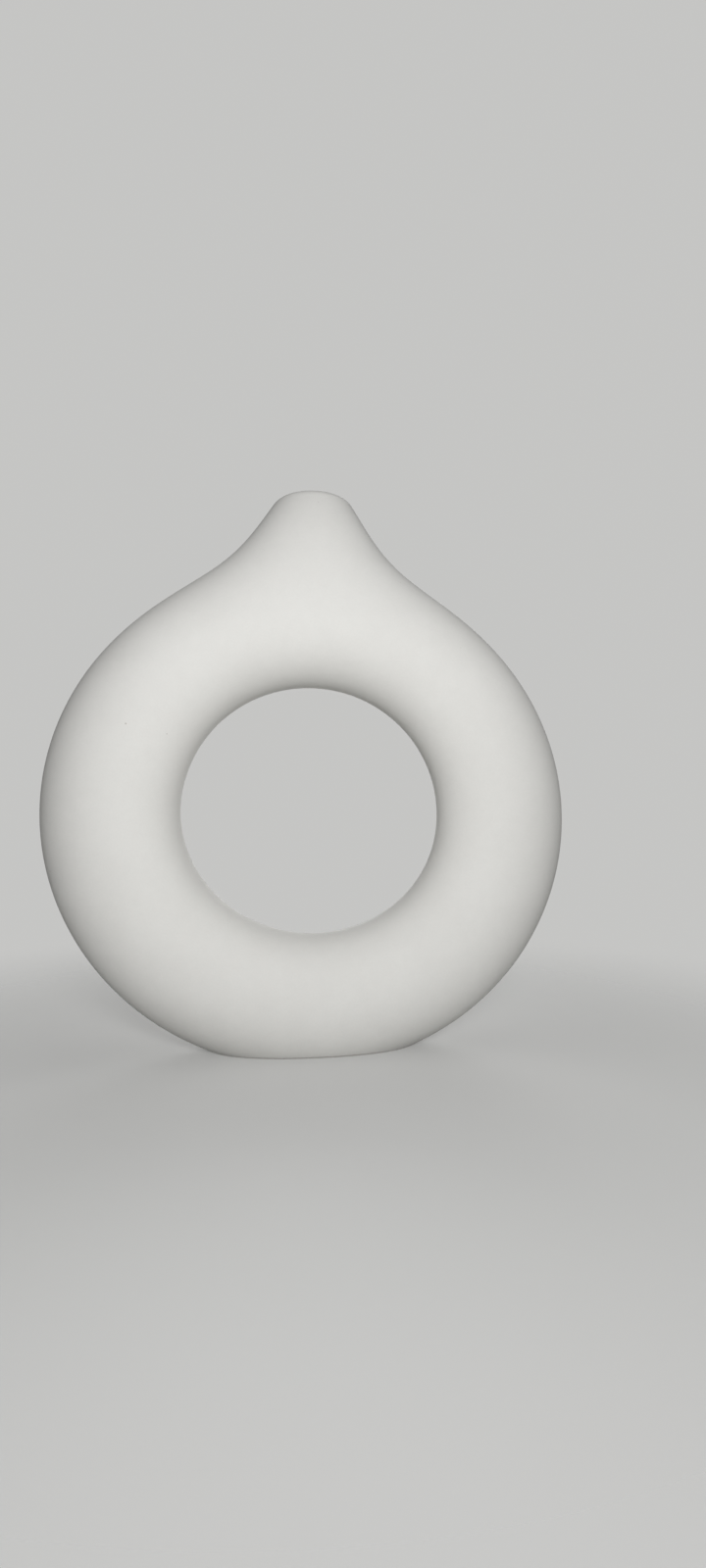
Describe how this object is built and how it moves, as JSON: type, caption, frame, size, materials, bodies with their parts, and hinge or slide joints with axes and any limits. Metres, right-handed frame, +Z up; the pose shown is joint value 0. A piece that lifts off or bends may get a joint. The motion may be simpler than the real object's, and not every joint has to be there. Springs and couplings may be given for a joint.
{
  "type": "donut vase",
  "caption": "Upright hollow ring vase with a short bell-shaped neck, one open mouth at the top and a flat foot.",
  "frame": {"origin": "bottom centre of the vase's box, on the ground under the middle of the ring", "axes": "+Z up through the neck, +X to the right along the ring's width, -Y to the front, along the axis of the ring's hole"},
  "size_m": [0.1998, 0.042, 0.2119],
  "materials": {
    "stoneware": "matte white, fine grain",
    "slip": "matte white, sponged flush",
    "lining_glaze": "clear gloss over white"
  },
  "bodies": {
    "root": {"front_shell": "stoneware", "back_shell": "stoneware", "outer_seam_slip": "slip", "inner_seam_slip": "slip", "glaze_lining": "lining_glaze"}
  },
  "joints": []
}
